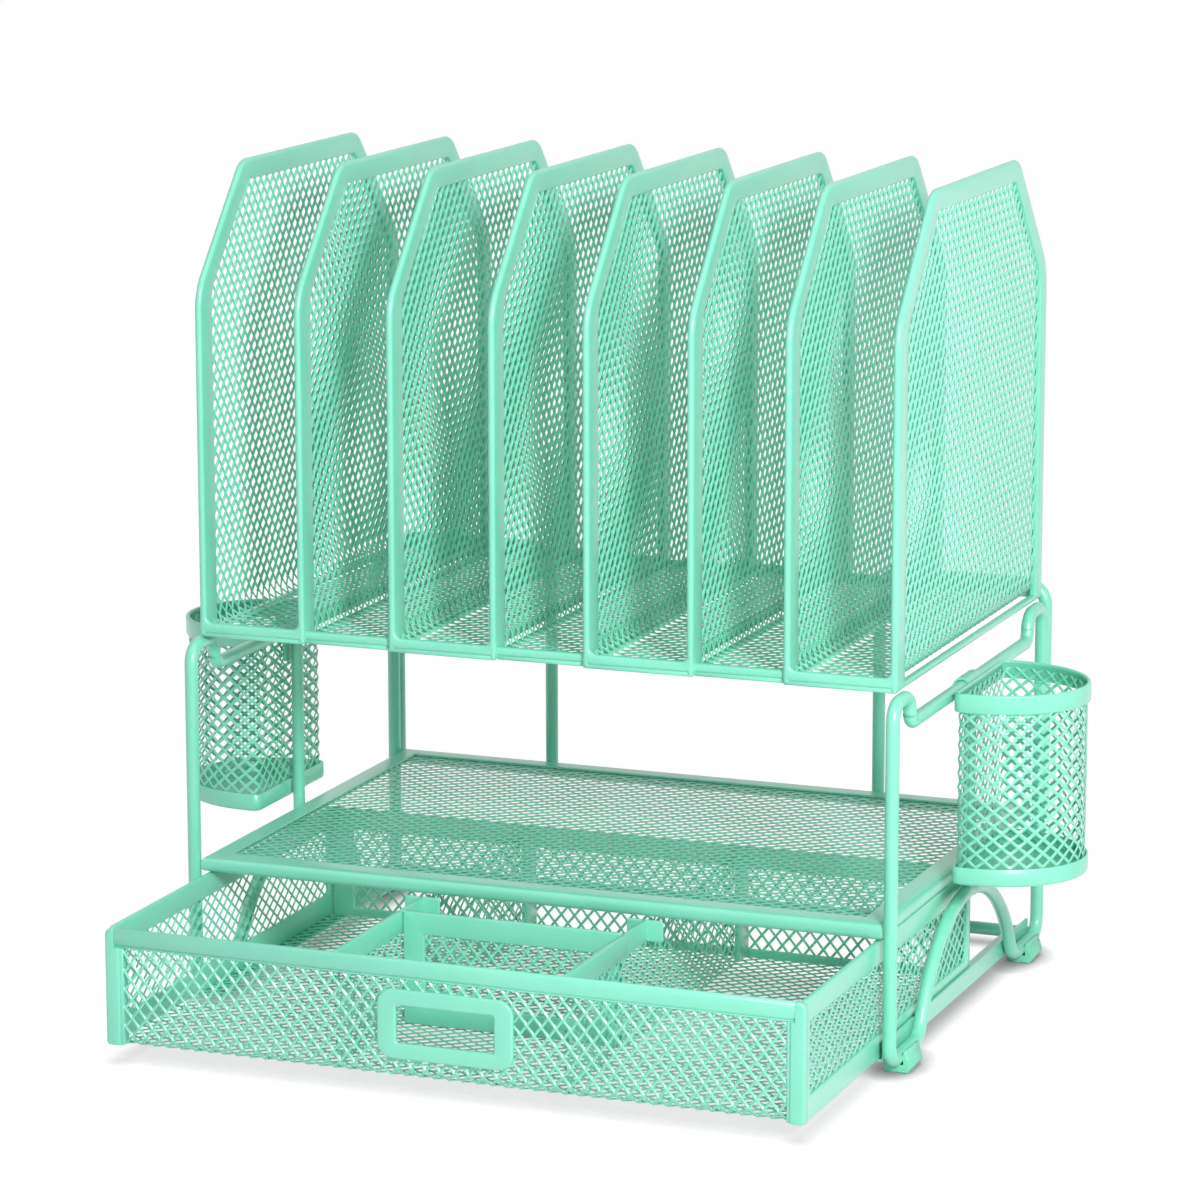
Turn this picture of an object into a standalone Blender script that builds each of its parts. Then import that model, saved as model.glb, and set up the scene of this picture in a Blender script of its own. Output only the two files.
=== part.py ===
"""Desk organizer: wire side frames carry a mesh drawer, a shelf, a seven-bay sorter and two cups.

X runs along the front to the right, Y runs back, Z is up. The origin is the middle of the footprint,
on the floor. Places below count Y from the centre line of the two front posts. The drawer stands partly open.
"""
import math

import bmesh
import bpy
from mathutils import Vector

for old in list(bpy.data.objects):
    bpy.data.objects.remove(old, do_unlink=True)

# Clearances, in metres like every length here
seat_gap = 0.0003           # between pieces that touch
run_gap = 0.0008            # drawer side to its runner
drawer_headroom = 0.0008    # drawer top to the shelf edge above it
front_play = 0.0013         # end of the drawer front to the post beside it
overrun = 0.002             # how far a cutter reaches past what it cuts

# Sheet stock
mesh_t = 0.0008             # expanded mesh sheet
sheet_t = 0.001             # plain folded sheet
hem_t = 0.0024              # hem folded over the edge of a drawer mesh

# Side frames, each one closed loop of bent wire
wire_d = 0.006
frame_spread = 0.327        # plane of the left frame to plane of the right one
frame_depth = 0.2223        # front post to rear post
sole_h = 0.0035             # plastic foot under the wire
foot_bend = 0.009           # bend from each post into the run along the floor
hump_h = 0.1633             # top of the loop, under the sorter
rail_drop = 0.0124          # rail that the cups hang on, below the top of the loop
hump_step = 0.0235          # post to the short leg that drops to the rail
hump_bend = 0.008
rail_bend = 0.0045
arch_h = 0.055              # arch between the feet, at mid depth
arch_radius = 0.075
arch_foot_bend = 0.012      # bend from the floor run into the arch
mid_post_d = 0.0055         # upright from the arch to the rail

# Feet clipped on the floor runs
foot_y = 0.0194             # foot's middle behind the front post
foot_len = 0.018
foot_inner = 0.006          # from the frame's plane towards the middle
foot_outer = 0.0062         # from the frame's plane outwards
foot_side_h = 0.0098        # top of its outer cheek
foot_cheek_out = 0.0041     # outer cheek at its top; it leans out below
foot_chamfer_rise = 0.0023  # its widest place above the floor
foot_chamfer = 0.0013

# Rear braces: two bent wires that tie the shelf to the sorter from behind
brace_inner_x = 0.083
brace_rise = 0.0055         # cross run above the sorter's underside
brace_bend = 0.010

# Drawer runners, angle strips on the insides of the frames
runner_flange = 0.011
runner_wall_h = 0.008

# Shelf
shelf_setback = 0.001       # shelf edge ahead of the posts' centre line
shelf_edge_h = 0.007        # turned-down edge
shelf_band_w = 0.011        # plain border round the mesh

# Sorter: four U-shaped trays with three floors between them
sorter_setback = 0.0071     # front of the sorter behind the posts' centre line
sorter_inset = 0.0009       # its sides inside the planes of the side frames
sorter_height = 0.2079
tray_count = 4
tray_width = 0.0509
rim_t = 0.0032              # hem round each divider
rim_w = 0.0105
slope_run = 0.047           # sloping top corners, along the depth
slope_rise = 0.0531         # and in height
slope_low_bend = 0.024
slope_top_bend = 0.013
base_bend = 0.002
lip_h = 0.0056              # upstand at the front and back of each sorter floor
lip_t = 0.0034
floor_lift = 0.0022         # mesh floor above the underside
link_setback = 0.0025       # floors between the trays stand back from them

# Drawer
drawer_depth = 0.231
drawer_height = 0.0522
drawer_pull = 0.086         # how far it stands open
front_rim_h = 0.0086
front_rim_t = 0.0036
front_post_w = 0.0054
side_band_h = 0.010
side_foot_h = 0.0105
side_end_w = 0.005
back_end_w = 0.0107
back_foot_h = 0.004
drawer_rim_bend = 0.0012    # rounding of the drawer's front rim
front_wrap = 0.0036         # bend where the front mesh turns under
front_return = 0.002        # and its flat return below

# Handle frame and the finger hole behind it
handle_w = 0.062
handle_h = 0.0305
handle_t = 0.0024
handle_hole_w = 0.0446
handle_hole_h = 0.0165
handle_bend = 0.007
handle_hole_bend = 0.0012
handle_z = 0.0242           # middle of the handle above the drawer's underside

# Dividers in the drawer
divider_x = 0.0524
divider_drop = 0.0004       # their tops below the drawer's rim
divider_band_h = 0.010
divider_band_len = 0.0945   # hemmed part, from the front
divider_end_w = 0.013       # plain strip at the back
step_t = 0.0018             # the hem is thinner behind the cross divider
cross_y = 0.0738            # cross divider behind the drawer front
cross_end_w = 0.010
cross_bend = 0.003          # its rounded top corners
tee_w = 0.0167              # plate across the end of each hem
tee_h = 0.0095
tee_t = 0.0016

# Cups, D-shaped, flat side to the frame
cup_w = 0.075
cup_depth = 0.0505
cup_flank = 0.008           # straight part of each side before the round
cup_height = 0.0855
cup_top_over_rail = 0.0036
cup_band_h = 0.0083
cup_pan_h = 0.008
cup_corner = 0.004
hook_w = 0.018
hook_leg = 0.0195           # down the outside of the rail
hook_lip = 0.009            # down the inside
left_cup_y = 0.1145
right_cup_y = 0.1065

# Openwork: each mesh sheet has a coarse grid of diamonds, so many across and so many up
opening_share = 0.74        # size of each opening against its diamond
least_share = 0.2           # diamonds cut off to less than this are left out
net_border = 0.003          # plain strip between the openings and a hem
divider_cells = (5, 4)
shelf_cells = (6, 4)
tray_cells = (1, 5)
drawer_floor_cells = (6, 4)
front_cells = (12, 1)
side_cells = (8, 1)
back_cells = (10, 1)
cross_cells = (3, 1)

# Straight pieces in a bend, detail of a wire's round, and the angle of an edge that stays sharp
bend_steps = 4
arch_steps = 9
round_steps = 14
wire_ring = 4
crease = math.radians(40)
quarter = math.pi / 2

# Places that follow from the sizes above
wire_r = wire_d / 2
half_spread = frame_spread / 2
sorter_width = frame_spread - 2 * sorter_inset
half_depth = frame_depth / 2
rail_h = hump_h - rail_drop
run_z = sole_h + wire_r                     # centre of the wire along the floor
inner_x = half_spread - wire_r - seat_gap   # what seats against a frame from inside
drawer_z = run_z + sheet_t + seat_gap
drawer_rest_y = frame_depth - wire_r - seat_gap - drawer_depth - drawer_pull
shelf_z = drawer_z + drawer_height + drawer_headroom
shelf_top = shelf_z + shelf_edge_h
brace_y = frame_depth + wire_d + seat_gap
shelf_rear_y = brace_y - wire_r - seat_gap
sorter_z = hump_h + wire_r + seat_gap
sorter_depth = brace_y - wire_r - seat_gap - sorter_setback
side_x = inner_x - sheet_t - run_gap        # outer face of the drawer's sides
front_x = half_spread - wire_r - front_play # end of the drawer's front
mesh_y = front_rim_t / 2                    # middle of the front mesh behind the drawer's front face
handle_back = mesh_y - mesh_t / 2 - seat_gap
front_end = drawer_rest_y + handle_back - handle_t
middle_y = (front_end + brace_y + wire_r) / 2


def paint(name, colour, roughness, metallic):
    made = bpy.data.materials.new(name)
    made.use_nodes = True
    shader = made.node_tree.nodes["Principled BSDF"]
    shader.inputs["Base Color"].default_value = (*colour, 1.0)
    shader.inputs["Roughness"].default_value = roughness
    shader.inputs["Metallic"].default_value = metallic
    return made


mint_paint = paint("mint_paint", (0.225, 0.735, 0.53), 0.34, 0.0)
mint_plastic = paint("mint_plastic", (0.235, 0.72, 0.52), 0.48, 0.0)


def group(name, place, parent=None):
    """An empty that carries the pieces of one moving part."""
    holder = bpy.data.objects.new(name, None)
    holder.location = place
    holder.parent = parent
    bpy.context.scene.collection.objects.link(holder)
    return holder


organizer = group("organizer", (0, -middle_y, 0))


def add(name, data, place=(0, 0, 0), parent=organizer, coat=mint_paint):
    piece = bpy.data.objects.new(name, data)
    piece.location = place
    piece.parent = parent
    data.materials.append(coat)
    bpy.context.scene.collection.objects.link(piece)
    return piece


def arc(centre, radius, start, end, steps):
    """Points on an arc in a plane, angles in radians, both ends included."""
    return [(centre[0] + radius * math.cos(start + (end - start) * k / steps),
             centre[1] + radius * math.sin(start + (end - start) * k / steps)) for k in range(steps + 1)]


def rounded(corners, radii, steps=bend_steps, closed=True):
    """A flat polyline with each corner replaced by an arc of the radius given for it."""
    count = len(corners)
    points = []
    for index, corner in enumerate(corners):
        here = Vector(corner)
        radius = radii[index]
        if radius == 0 or (not closed and index in (0, count - 1)):
            points.append((here.x, here.y))
            continue
        back = (Vector(corners[index - 1]) - here).normalized()
        ahead = (Vector(corners[(index + 1) % count]) - here).normalized()
        half = back.angle(ahead) / 2
        middle = here + (back + ahead).normalized() * (radius / math.sin(half))
        first = here + back * (radius / math.tan(half)) - middle
        turn = here + ahead * (radius / math.tan(half)) - middle
        sweep = first.angle_signed(turn)
        for k in range(steps + 1):
            angle = -sweep * k / steps
            point = middle + Vector((first.x * math.cos(angle) - first.y * math.sin(angle),
                                     first.x * math.sin(angle) + first.y * math.cos(angle)))
            points.append((point.x, point.y))
    return points


def box_corners(low, high):
    return [(low[0], low[1]), (high[0], low[1]), (high[0], high[1]), (low[0], high[1])]


def facing(mesh):
    """Turns the faces of one closed body outwards."""
    work = bmesh.new()
    work.from_mesh(mesh)
    bmesh.ops.recalc_face_normals(work, faces=work.faces)
    work.to_mesh(mesh)
    work.free()
    mesh.shade_smooth()
    mesh.set_sharp_from_angle(angle=crease)
    return mesh


def place_point(axis, along, flat):
    """A point from its distance along one axis and its two places across it, taken in X, Y, Z order."""
    if axis == "x":
        return (along, flat[0], flat[1])
    if axis == "y":
        return (flat[0], along, flat[1])
    return (flat[0], flat[1], along)


def prism(name, outline, axis, start, end, **where):
    """A flat outline pulled along one axis."""
    count = len(outline)
    points = [place_point(axis, along, flat) for along in (start, end) for flat in outline]
    faces = [list(range(count)), list(range(count, 2 * count))]
    faces += [(k, (k + 1) % count, count + (k + 1) % count, count + k) for k in range(count)]
    mesh = bpy.data.meshes.new(name)
    mesh.from_pydata(points, [], faces)
    return add(name, facing(mesh), **where)


def box(name, low, high, **where):
    return prism(name, box_corners(low[:2], high[:2]), "z", low[2], high[2], **where)


def framed_sheet(name, outer, inner, axis, rim, sheet, **where):
    """A thin sheet with a thicker rim: both outlines have the same number of points."""
    count = len(outer)
    levels = [(-rim / 2, outer), (-rim / 2, inner), (-sheet / 2, inner),
              (sheet / 2, inner), (rim / 2, inner), (rim / 2, outer)]
    points = [place_point(axis, along, flat) for along, outline in levels for flat in outline]
    faces = []
    for low, high in ((0, 1), (1, 2), (3, 4), (4, 5), (5, 0)):
        for k in range(count):
            step = (k + 1) % count
            faces.append((low * count + k, low * count + step, high * count + step, high * count + k))
    faces.append([2 * count + k for k in range(count)])
    faces.append([3 * count + k for k in range(count)])
    mesh = bpy.data.meshes.new(name)
    mesh.from_pydata(points, [], faces)
    return add(name, facing(mesh), **where)


def ring(name, outer, inner, axis, start, end, **where):
    """A band between two outlines that have the same number of points."""
    count = len(outer)
    levels = [(start, outer), (start, inner), (end, inner), (end, outer)]
    points = [place_point(axis, along, flat) for along, outline in levels for flat in outline]
    faces = []
    for level in range(4):
        other = (level + 1) % 4
        for k in range(count):
            step = (k + 1) % count
            faces.append((level * count + k, level * count + step, other * count + step, other * count + k))
    mesh = bpy.data.meshes.new(name)
    mesh.from_pydata(points, [], faces)
    return add(name, facing(mesh), **where)


def wire(name, points, diameter, closed=False, **where):
    """Round wire along points in space."""
    curve = bpy.data.curves.new(name, "CURVE")
    curve.dimensions = "3D"
    curve.bevel_depth = diameter / 2
    curve.bevel_resolution = wire_ring
    curve.use_fill_caps = True
    line = curve.splines.new("POLY")
    line.points.add(len(points) - 1)
    for slot, point in zip(line.points, points):
        slot.co = (*point, 1.0)
    line.use_cyclic_u = closed
    line.use_smooth = True
    return add(name, curve, **where)


def join(piece, extras):
    """Unites extra blocks with a piece; the blocks stay as hidden guides."""
    for extra in extras:
        extra.hide_render = True
        extra.display_type = "WIRE"
        weld = piece.modifiers.new("weld_" + extra.name, "BOOLEAN")
        weld.operation = "UNION"
        weld.solver = "EXACT"
        weld.object = extra


def drawn_in(low, high):
    """The corners of a window, drawn in by the plain strip round its openings."""
    return box_corners([edge + net_border for edge in low], [edge - net_border for edge in high])


def kept_side(polygon, start, end):
    """The part of a convex polygon to the left of the line from start to end."""
    line = Vector(end) - Vector(start)
    heights = [line.x * (v - start[1]) - line.y * (u - start[0]) for u, v in polygon]
    kept = []
    for index, point in enumerate(polygon):
        before = polygon[index - 1]
        if (heights[index] > 0) != (heights[index - 1] > 0):
            share = heights[index - 1] / (heights[index - 1] - heights[index])
            kept.append(tuple(Vector(before).lerp(Vector(point), share)))
        if heights[index] > 0:
            kept.append(point)
    return kept


def polygon_area(polygon):
    return abs(sum(polygon[k - 1][0] * v - polygon[k - 1][1] * u for k, (u, v) in enumerate(polygon))) / 2


def openwork(sheet, region, cells, axis, start, end, keep_clear=None, **where):
    """Cuts a grid of diamonds through a sheet, inside a convex region given anticlockwise."""
    low = [min(point[k] for point in region) for k in (0, 1)]
    high = [max(point[k] for point in region) for k in (0, 1)]
    half = [(high[k] - low[k]) / cells[k] / 2 for k in (0, 1)]
    points = []
    faces = []
    for row in range(2 * cells[1] + 1):
        for column in range(2 * cells[0] + 1):
            if (row + column) % 2:
                continue
            centre = (low[0] + column * half[0], low[1] + row * half[1])
            reach = [opening_share * size for size in half]
            diamond = [(centre[0] + reach[0], centre[1]), (centre[0], centre[1] + reach[1]),
                       (centre[0] - reach[0], centre[1]), (centre[0], centre[1] - reach[1])]
            whole = polygon_area(diamond)
            for index, corner in enumerate(region):
                if diamond:
                    diamond = kept_side(diamond, corner, region[(index + 1) % len(region)])
            if not diamond or polygon_area(diamond) < least_share * whole:
                continue
            if keep_clear and all(max(point[k] for point in diamond) > keep_clear[0][k]
                                  and min(point[k] for point in diamond) < keep_clear[1][k] for k in (0, 1)):
                continue
            count = len(diamond)
            first = len(points)
            points += [place_point(axis, along, flat) for along in (start, end) for flat in diamond]
            faces += [[first + k for k in range(count)], [first + count + k for k in range(count)]]
            faces += [[first + k, first + (k + 1) % count, first + count + (k + 1) % count, first + count + k]
                      for k in range(count)]
    mesh = bpy.data.meshes.new(sheet.name + "_openings")
    mesh.from_pydata(points, [], faces)
    cutter = add(mesh.name, facing(mesh), **where)
    cutter.hide_render = True
    cutter.display_type = "WIRE"
    cut = sheet.modifiers.new("openwork", "BOOLEAN")
    cut.operation = "DIFFERENCE"
    cut.solver = "EXACT"
    cut.object = cutter


# The side frame's loop, drawn in Y and Z. One half runs from the arch to the rail; the other mirrors it.
arch_centre = (half_depth, arch_h - arch_radius)
blend_z = run_z + arch_foot_bend
reach = arch_radius + arch_foot_bend
blend_y = half_depth - math.sqrt(reach ** 2 - (blend_z - arch_centre[1]) ** 2)
meet = math.atan2(blend_z - arch_centre[1], half_depth - blend_y)
half_loop = arc(arch_centre, arch_radius, quarter, math.pi - meet, arch_steps)
half_loop += arc((blend_y, blend_z), arch_foot_bend, -meet, -quarter, bend_steps)[1:]
half_loop += arc((foot_bend, run_z + foot_bend), foot_bend, -quarter, -math.pi, bend_steps)
half_loop += arc((hump_bend, hump_h - hump_bend), hump_bend, math.pi, quarter, bend_steps)
half_loop += arc((hump_step - hump_bend, hump_h - hump_bend), hump_bend, quarter, 0, bend_steps)
half_loop += arc((hump_step + rail_bend, rail_h + rail_bend), rail_bend, math.pi, 3 * quarter, bend_steps)
half_loop.append((half_depth, rail_h))
other_loop = [(frame_depth - y, z) for y, z in half_loop[-2:0:-1]]
loop = [(0, y, z) for y, z in half_loop + other_loop]

for side, word in ((-1, "left"), (1, "right")):
    frame_x = side * half_spread
    wire(word + "_side_frame", loop, wire_d, closed=True, place=(frame_x, 0, 0))
    post_low = arch_h + wire_r + seat_gap
    post_high = rail_h - wire_r - seat_gap
    wire(word + "_mid_post", [(0, 0, post_low), (0, 0, post_high)], mid_post_d,
         place=(frame_x, half_depth, 0))

    # Foot: a sole, an inner cheek kept under the runner and a higher outer cheek
    cheek_in = -wire_r - seat_gap
    cheek_out = wire_r + seat_gap
    sole_top = sole_h - seat_gap
    section = [(-foot_inner, 0), (foot_outer - foot_chamfer, 0), (foot_outer, foot_chamfer_rise),
               (foot_cheek_out, foot_side_h), (cheek_out, foot_side_h), (cheek_out, sole_top),
               (cheek_in, sole_top), (cheek_in, run_z - seat_gap), (-foot_inner, run_z - seat_gap)]
    section = [(side * x, z) for x, z in section]
    for end, y in (("front", foot_y), ("rear", frame_depth - foot_y)):
        prism(f"{word}_{end}_foot", section, "y", -foot_len / 2, foot_len / 2,
              place=(frame_x, y, 0), coat=mint_plastic)

    # Runner: a flange under the drawer and a wall beside it
    wall_x = inner_x - sheet_t
    angle = [(inner_x, run_z), (inner_x, run_z + runner_wall_h), (wall_x, run_z + runner_wall_h),
             (wall_x, run_z + sheet_t), (inner_x - runner_flange, run_z + sheet_t),
             (inner_x - runner_flange, run_z)]
    angle = [(side * x, z) for x, z in angle]
    prism(word + "_runner", angle, "y", wire_r, frame_depth - wire_r - seat_gap)

    # Brace: up behind the inner third, across behind the sorter, down behind the rear post
    brace_top = sorter_z + brace_rise
    route = [(side * brace_inner_x, shelf_z), (side * brace_inner_x, brace_top),
             (frame_x, brace_top), (frame_x, shelf_z)]
    route = rounded(route, [0, brace_bend, brace_bend, 0], closed=False)
    wire(word + "_rear_brace", [(x, 0, z) for x, z in route], wire_d, place=(0, brace_y, 0))

wire("rear_bar", [(-inner_x, 0, 0), (inner_x, 0, 0)], wire_d, place=(0, frame_depth, run_z))

# Shelf: a mesh sheet under a border whose outer edge turns down
shelf_front_y = -shelf_setback
mesh_top = shelf_top - sheet_t - seat_gap
mesh_x = inner_x - sheet_t - seat_gap
shelf_sheet = box("shelf_mesh", (-mesh_x, shelf_front_y + sheet_t + seat_gap, mesh_top - mesh_t),
                  (mesh_x, shelf_rear_y - sheet_t - seat_gap, mesh_top))
shelf_inset = shelf_band_w + net_border
openwork(shelf_sheet, box_corners((-inner_x + shelf_inset, shelf_front_y + shelf_inset),
                                  (inner_x - shelf_inset, shelf_rear_y - shelf_inset)),
         shelf_cells, "z", shelf_z, shelf_top)


def edge_section(outer, inward):
    """Turned-down edge seen from its end: outer is the outside face, inward is the sign towards the mesh."""
    skin = outer + inward * sheet_t
    tip = outer + inward * shelf_band_w
    return [(outer, shelf_z), (outer, shelf_top), (tip, shelf_top), (tip, shelf_top - sheet_t),
            (skin, shelf_top - sheet_t), (skin, shelf_z)]


prism("shelf_front_edge", edge_section(shelf_front_y, 1), "x", -inner_x, inner_x)
prism("shelf_rear_edge", edge_section(shelf_rear_y, -1), "x", -inner_x, inner_x)
band_start = shelf_front_y + shelf_band_w + seat_gap
band_end = shelf_rear_y - shelf_band_w - seat_gap
prism("shelf_left_edge", edge_section(-inner_x, 1), "y", band_start, band_end)
prism("shelf_right_edge", edge_section(inner_x, -1), "y", band_start, band_end)


# Sorter dividers: a rectangle with sloping top corners, hemmed all round
def divider_corners(inset):
    """The corners of a divider in Y and Z, drawn in by a border."""
    front, back = inset, sorter_depth - inset
    top = sorter_height - inset
    slope = math.atan2(slope_rise, slope_run)
    shift = inset * math.tan(slope / 2)
    low = sorter_height - slope_rise - inset * math.tan((quarter - slope) / 2)
    near = slope_run + shift
    far = sorter_depth - near
    return [(front, inset), (back, inset), (back, low), (far, top), (near, top), (front, low)]


divider_bends = [base_bend, base_bend, slope_low_bend, slope_top_bend, slope_top_bend, slope_low_bend]
outer_outline = rounded(divider_corners(0), divider_bends)
inner_outline = rounded(divider_corners(rim_w), divider_bends)
divider_region = divider_corners(rim_w + net_border)
tray_pitch = (sorter_width - tray_width) / (tray_count - 1)
low_edge = floor_lift + mesh_t


def floor_section(start, end):
    """A sorter floor seen from its end: a mesh sheet with an upstand at the front and at the back."""
    return [(start, 0), (start + lip_t, 0), (start + lip_t, floor_lift), (end - lip_t, floor_lift),
            (end - lip_t, 0), (end, 0), (end, lip_h), (end - lip_t, lip_h), (end - lip_t, low_edge),
            (start + lip_t, low_edge), (start + lip_t, lip_h), (start, lip_h)]


for tray in range(tray_count):
    left_face = -sorter_width / 2 + tray * tray_pitch
    right_face = left_face + tray_width
    for number, middle in ((2 * tray + 1, left_face + rim_t / 2), (2 * tray + 2, right_face - rim_t / 2)):
        place = (middle, sorter_setback, sorter_z)
        panel = framed_sheet(f"divider_{number}", outer_outline, inner_outline, "x", rim_t, mesh_t,
                             place=place)
        openwork(panel, divider_region, divider_cells, "x", -mesh_t, mesh_t, place=place)
    spans = [("tray", 0, left_face + rim_t + seat_gap, right_face - rim_t - seat_gap)]
    if tray < tray_count - 1:
        spans.append(("link", link_setback, right_face + seat_gap, left_face + tray_pitch - seat_gap))
    for kind, setback, start, end in spans:
        place = (0, sorter_setback, sorter_z)
        panel = prism(f"{kind}_floor_{tray + 1}", floor_section(setback, sorter_depth - setback), "x",
                      start, end, place=place)
        near = setback + lip_t + net_border
        openwork(panel, box_corners((start + net_border, near), (end - net_border, sorter_depth - near)),
                 tray_cells, "z", 0, lip_h, place=place)

# Drawer, drawn from its front face and its underside
drawer = group("drawer", (0, drawer_rest_y, drawer_z), organizer)
front_clear = front_rim_t + seat_gap
panel_top = drawer_height - front_rim_h - seat_gap
panel_x = front_x - front_post_w - seat_gap

rim_section = box_corners((0, drawer_height - front_rim_h), (front_rim_t, drawer_height))
prism("drawer_front_rim", rounded(rim_section, [drawer_rim_bend] * 4), "x", -front_x, front_x, parent=drawer)
for side, word in ((-1, "left"), (1, "right")):
    near = side * panel_x + side * seat_gap
    far = side * front_x
    post = rounded(box_corners((min(near, far), 0), (max(near, far), front_rim_t)), [drawer_rim_bend] * 4)
    prism(f"drawer_{word}_post", post, "z", 0, panel_top, parent=drawer)

# The front mesh turns under at the bottom and meets the floor
bend_y = mesh_y - mesh_t / 2 + front_wrap
wrap = [(mesh_y + mesh_t / 2, panel_top), (mesh_y - mesh_t / 2, panel_top)]
wrap += arc((bend_y, front_wrap), front_wrap, math.pi, 3 * quarter, bend_steps)
wrap += [(bend_y + front_return, 0), (bend_y + front_return, mesh_t)]
wrap += arc((bend_y, front_wrap), front_wrap - mesh_t, 3 * quarter, math.pi, bend_steps)
panel = prism("drawer_front_mesh", wrap, "x", -panel_x, panel_x, parent=drawer)
hole_low = (-handle_hole_w / 2, handle_z - handle_hole_h / 2)
hole_high = (handle_hole_w / 2, handle_z + handle_hole_h / 2)
hole = rounded(box_corners(hole_low, hole_high), [handle_hole_bend] * 4)
cutter = prism("finger_hole", hole, "y", -overrun, front_rim_t + overrun, parent=drawer)
cutter.hide_render = True
cutter.display_type = "WIRE"
opening = panel.modifiers.new("finger_hole", "BOOLEAN")
opening.operation = "DIFFERENCE"
opening.solver = "EXACT"
opening.object = cutter
openwork(panel, box_corners((-panel_x + net_border, front_wrap),
                            (panel_x - net_border, panel_top - net_border)),
         front_cells, "y", -overrun, front_rim_t + overrun, parent=drawer,
         keep_clear=[(side * (handle_w / 2 + net_border), handle_z + side * (handle_h / 2 + net_border))
                     for side in (-1, 1)])

handle_low = (-handle_w / 2, handle_z - handle_h / 2)
handle_high = (handle_w / 2, handle_z + handle_h / 2)
ring("drawer_handle", rounded(box_corners(handle_low, handle_high), [handle_bend] * 4), hole, "y",
     handle_back - handle_t, handle_back, parent=drawer)

floor_x = side_x - hem_t - seat_gap
back_clear = drawer_depth - hem_t - seat_gap
floor_start = bend_y + front_return + seat_gap
bottom = box("drawer_floor", (-floor_x, floor_start, 0), (floor_x, back_clear, mesh_t), parent=drawer)
openwork(bottom, box_corners((-floor_x + net_border, floor_start + net_border),
                             (floor_x - net_border, back_clear - net_border)),
         drawer_floor_cells, "z", -overrun, mesh_t + overrun, parent=drawer)

side_low = (front_clear, 0)
side_high = (drawer_depth, drawer_height)
window_low = (front_clear + side_end_w, side_foot_h)
window_high = (drawer_depth - side_end_w, drawer_height - side_band_h)
for side, word in ((-1, "left"), (1, "right")):
    place = (side * (side_x - hem_t / 2), 0, 0)
    panel = framed_sheet(f"drawer_{word}_side", box_corners(side_low, side_high),
                         box_corners(window_low, window_high), "x", hem_t, mesh_t, place=place, parent=drawer)
    openwork(panel, drawn_in(window_low, window_high), side_cells, "x", -mesh_t, mesh_t,
             place=place, parent=drawer)

back_x = side_x - hem_t - seat_gap
window_low = (-back_x + back_end_w, back_foot_h)
window_high = (back_x - back_end_w, drawer_height - side_band_h)
place = (0, drawer_depth - hem_t / 2, 0)
panel = framed_sheet("drawer_back", box_corners((-back_x, 0), (back_x, drawer_height)),
                     box_corners(window_low, window_high), "y", hem_t, mesh_t, place=place, parent=drawer)
openwork(panel, drawn_in(window_low, window_high), back_cells, "y", -mesh_t, mesh_t,
         place=place, parent=drawer)

# Long dividers: hemmed along the front half of the top, with a plate across the end of the hem
divider_low = mesh_t + seat_gap
divider_top = drawer_height - divider_drop
for side, word in ((-1, "left"), (1, "right")):
    middle = side * divider_x
    sheet = box(f"drawer_{word}_divider", (-mesh_t / 2, front_clear, divider_low),
                (mesh_t / 2, back_clear, divider_top), place=(middle, 0, 0), parent=drawer)
    hem_end = front_clear + divider_band_len
    hem_low = divider_top - divider_band_h
    hem = box(f"{word}_hem_block", (-hem_t / 2, front_clear, hem_low), (hem_t / 2, cross_y, divider_top),
              place=(middle, 0, 0), parent=drawer)
    thin = box(f"{word}_thin_hem_block", (-step_t / 2, cross_y - overrun, hem_low),
               (step_t / 2, hem_end, divider_top), place=(middle, 0, 0), parent=drawer)
    tee = box(f"{word}_tee_block", (-tee_w / 2, hem_end - tee_t, divider_top - tee_h),
              (tee_w / 2, hem_end, divider_top), place=(middle, 0, 0), parent=drawer)
    strip = box(f"{word}_strip_block", (-hem_t / 2, back_clear - divider_end_w, divider_low),
                (hem_t / 2, back_clear, divider_top), place=(middle, 0, 0), parent=drawer)
    join(sheet, (hem, thin, tee, strip))

# Cross divider between the long ones, hemmed on three sides with rounded top corners
cross_x = divider_x - hem_t / 2 - seat_gap
cross_radii = [0, 0, cross_bend, cross_bend]
window_low = (-cross_x + cross_end_w, divider_low + cross_end_w)
window_high = (cross_x - cross_end_w, divider_top - divider_band_h)
cross_outer = rounded(box_corners((-cross_x, divider_low), (cross_x, divider_top)), cross_radii)
cross_inner = rounded(box_corners(window_low, window_high), cross_radii)
place = (0, cross_y, 0)
panel = framed_sheet("drawer_cross_divider", cross_outer, cross_inner, "y", hem_t, mesh_t,
                     place=place, parent=drawer)
openwork(panel, drawn_in(window_low, window_high), cross_cells, "y", -mesh_t, mesh_t,
         place=place, parent=drawer)


def cup_outline(inset, sign):
    """The cup's plan, a flat side and a half ellipse, drawn in by inset."""
    half = cup_w / 2 - inset
    corner = cup_corner - inset / 2
    bulge = cup_depth - cup_flank - inset
    outline = arc((inset + corner, -half + corner), corner, math.pi, 3 * quarter, bend_steps)
    sweep = arc((0, 0), 1, -quarter, quarter, round_steps)
    outline += [(cup_flank + bulge * along, half * across) for along, across in sweep]
    outline += arc((inset + corner, half - corner), corner, quarter, math.pi, bend_steps)
    return [(sign * x, y) for x, y in outline]


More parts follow.
